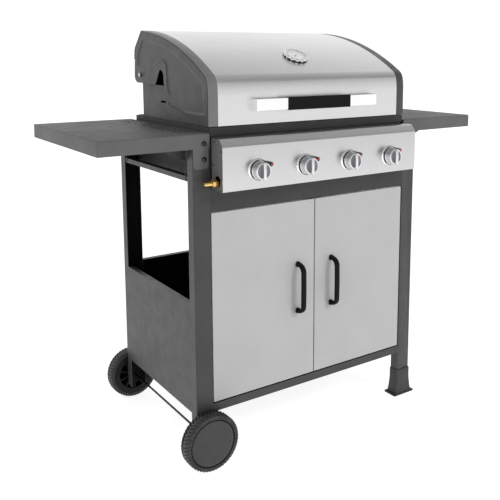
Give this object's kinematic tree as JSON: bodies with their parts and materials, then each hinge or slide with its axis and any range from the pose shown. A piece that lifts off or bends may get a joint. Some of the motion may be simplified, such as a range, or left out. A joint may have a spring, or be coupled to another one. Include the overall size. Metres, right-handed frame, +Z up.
{
  "type": "gas barbecue grill",
  "caption": "Gas barbecue on a cabinet cart with a hinged curved steel lid, control knobs, side tables with folded edges, wheels on the left and feet on the right.",
  "frame": {"origin": "on the ground, at the middle of the outline seen from above", "axes": "+X to the cook's right along the tables, +Y from the cook towards the back, +Z up"},
  "size_m": [1.248, 0.5936, 1.1421],
  "materials": {
    "painted_frame": "satin dark grey powder coat with fine orange peel",
    "painted_panel": "satin dark grey powder coat on flat sheet",
    "painted_table": "fine textured dark grey powder coat",
    "painted_door": "smooth silver grey coat",
    "firebox_black": "high-temperature matt black",
    "lid_end_paint": "satin dark grey enamel on pressed steel",
    "brushed_steel": "long horizontal brushing",
    "polished_steel": "polished bar",
    "knob_chrome": "satin chrome plate over moulded body",
    "bezel_black": "semi-gloss black with a red dot",
    "dial_white": "printed temperature dial under a clear lens",
    "black_plastic": "satin black moulding",
    "wheel_plastic": "dark grey moulding",
    "tyre_rubber": "moulded tread",
    "zinc_steel": "dull zinc plate",
    "stainless_inner": "plain mill finish, slightly heat-stained",
    "cast_iron": "rough black enamelled casting",
    "brass": "turned brass",
    "screw_black": "black-oxide screws"
  },
  "bodies": {
    "root": {"post_front_left": "painted_frame", "post_rear_left": "painted_frame", "post_front_right": "painted_frame", "post_rear_right": "painted_frame", "feet": "black_plastic", "cabinet_floor": "painted_panel", "front_fascia": "painted_panel", "side_panel_left": "painted_panel", "side_panel_right": "painted_panel", "back_panel": "painted_panel", "upper_rails": "painted_frame", "door_pins": "zinc_steel", "magnet_catch": "black_plastic", "axle": "zinc_steel", "table_left": "painted_table", "table_right": "painted_table", "table_brackets": "painted_frame", "firebox": "firebox_black", "rear_shield": "firebox_black", "hinge_cheeks": "lid_end_paint", "lid_pins": "zinc_steel", "cooking_grates": "cast_iron", "warming_rack": "polished_steel", "flame_tamers": "stainless_inner", "burners": "stainless_inner", "manifold": "zinc_steel", "gas_inlet": "brass", "valves": "brass", "knob_bezels": "bezel_black", "control_panel": "brushed_steel", "panel_ends": "painted_panel", "tray_runners": "painted_frame", "screws": "screw_black"},
    "lid": {"lid_skin": "brushed_steel", "lid_end_left": "lid_end_paint", "lid_end_right": "lid_end_paint", "lid_handle": "polished_steel", "lid_handle_grip": "black_plastic", "thermometer_body": "polished_steel", "thermometer_dial": "dial_white"},
    "door_left": {"door_left": "painted_door", "door_handle_left": "black_plastic"},
    "door_right": {"door_right": "painted_door", "door_handle_right": "black_plastic"},
    "wheel_front": {"wheel_front": "wheel_plastic", "tyre_front": "tyre_rubber", "hubcap_front": "wheel_plastic"},
    "wheel_rear": {"wheel_rear": "wheel_plastic", "tyre_rear": "tyre_rubber", "hubcap_rear": "wheel_plastic"},
    "grease_tray": {"grease_tray": "stainless_inner"},
    "stem_1": {"stem_1": "zinc_steel"},
    "knob_1": {"knob_1": "knob_chrome"},
    "stem_2": {"stem_2": "zinc_steel"},
    "knob_2": {"knob_2": "knob_chrome"},
    "stem_3": {"stem_3": "zinc_steel"},
    "knob_3": {"knob_3": "knob_chrome"},
    "stem_4": {"stem_4": "zinc_steel"},
    "knob_4": {"knob_4": "knob_chrome"}
  },
  "joints": [
    {"name": "lid_hinge", "type": "hinge", "parent": "root", "child": "lid", "pos_m": [0, 0.20275, 1.015], "axis": [-1, 0, 0], "range_deg": [0, 80]},
    {"name": "door_left_hinge", "type": "hinge", "parent": "root", "child": "door_left", "pos_m": [-0.321, -0.19725, 0.42], "axis": [0, 0, -1], "range_deg": [0, 110]},
    {"name": "door_right_hinge", "type": "hinge", "parent": "root", "child": "door_right", "pos_m": [0.321, -0.19725, 0.42], "axis": [0, 0, 1], "range_deg": [0, 110]},
    {"name": "wheel_front_spin", "type": "hinge", "parent": "root", "child": "wheel_front", "pos_m": [-0.357, -0.22825, 0.077], "axis": [0, 1, 0], "continuous": true},
    {"name": "wheel_rear_spin", "type": "hinge", "parent": "root", "child": "wheel_rear", "pos_m": [-0.357, 0.27775, 0.077], "axis": [0, 1, 0], "continuous": true},
    {"name": "grease_tray_slide", "type": "slide", "parent": "root", "child": "grease_tray", "axis": [0, 1, 0], "range_m": [0, 0.38]},
    {"name": "knob_1_turn", "type": "hinge", "parent": "root", "child": "stem_1", "pos_m": [-0.225, -0.26525, 0.786], "axis": [0, -1, 0], "range_deg": [0, 180]},
    {"name": "knob_1_push", "type": "slide", "parent": "stem_1", "child": "knob_1", "axis": [0, 1, 0], "range_m": [0, 0.003], "stiffness_N_per_m": 900, "springref_m": -0.002},
    {"name": "knob_2_turn", "type": "hinge", "parent": "root", "child": "stem_2", "pos_m": [-0.075, -0.26525, 0.786], "axis": [0, -1, 0], "range_deg": [0, 180]},
    {"name": "knob_2_push", "type": "slide", "parent": "stem_2", "child": "knob_2", "axis": [0, 1, 0], "range_m": [0, 0.003], "stiffness_N_per_m": 900, "springref_m": -0.002},
    {"name": "knob_3_turn", "type": "hinge", "parent": "root", "child": "stem_3", "pos_m": [0.075, -0.26525, 0.786], "axis": [0, -1, 0], "range_deg": [0, 180]},
    {"name": "knob_3_push", "type": "slide", "parent": "stem_3", "child": "knob_3", "axis": [0, 1, 0], "range_m": [0, 0.003], "stiffness_N_per_m": 900, "springref_m": -0.002},
    {"name": "knob_4_turn", "type": "hinge", "parent": "root", "child": "stem_4", "pos_m": [0.225, -0.26525, 0.786], "axis": [0, -1, 0], "range_deg": [0, 180]},
    {"name": "knob_4_push", "type": "slide", "parent": "stem_4", "child": "knob_4", "axis": [0, 1, 0], "range_m": [0, 0.003], "stiffness_N_per_m": 900, "springref_m": -0.002}
  ]
}
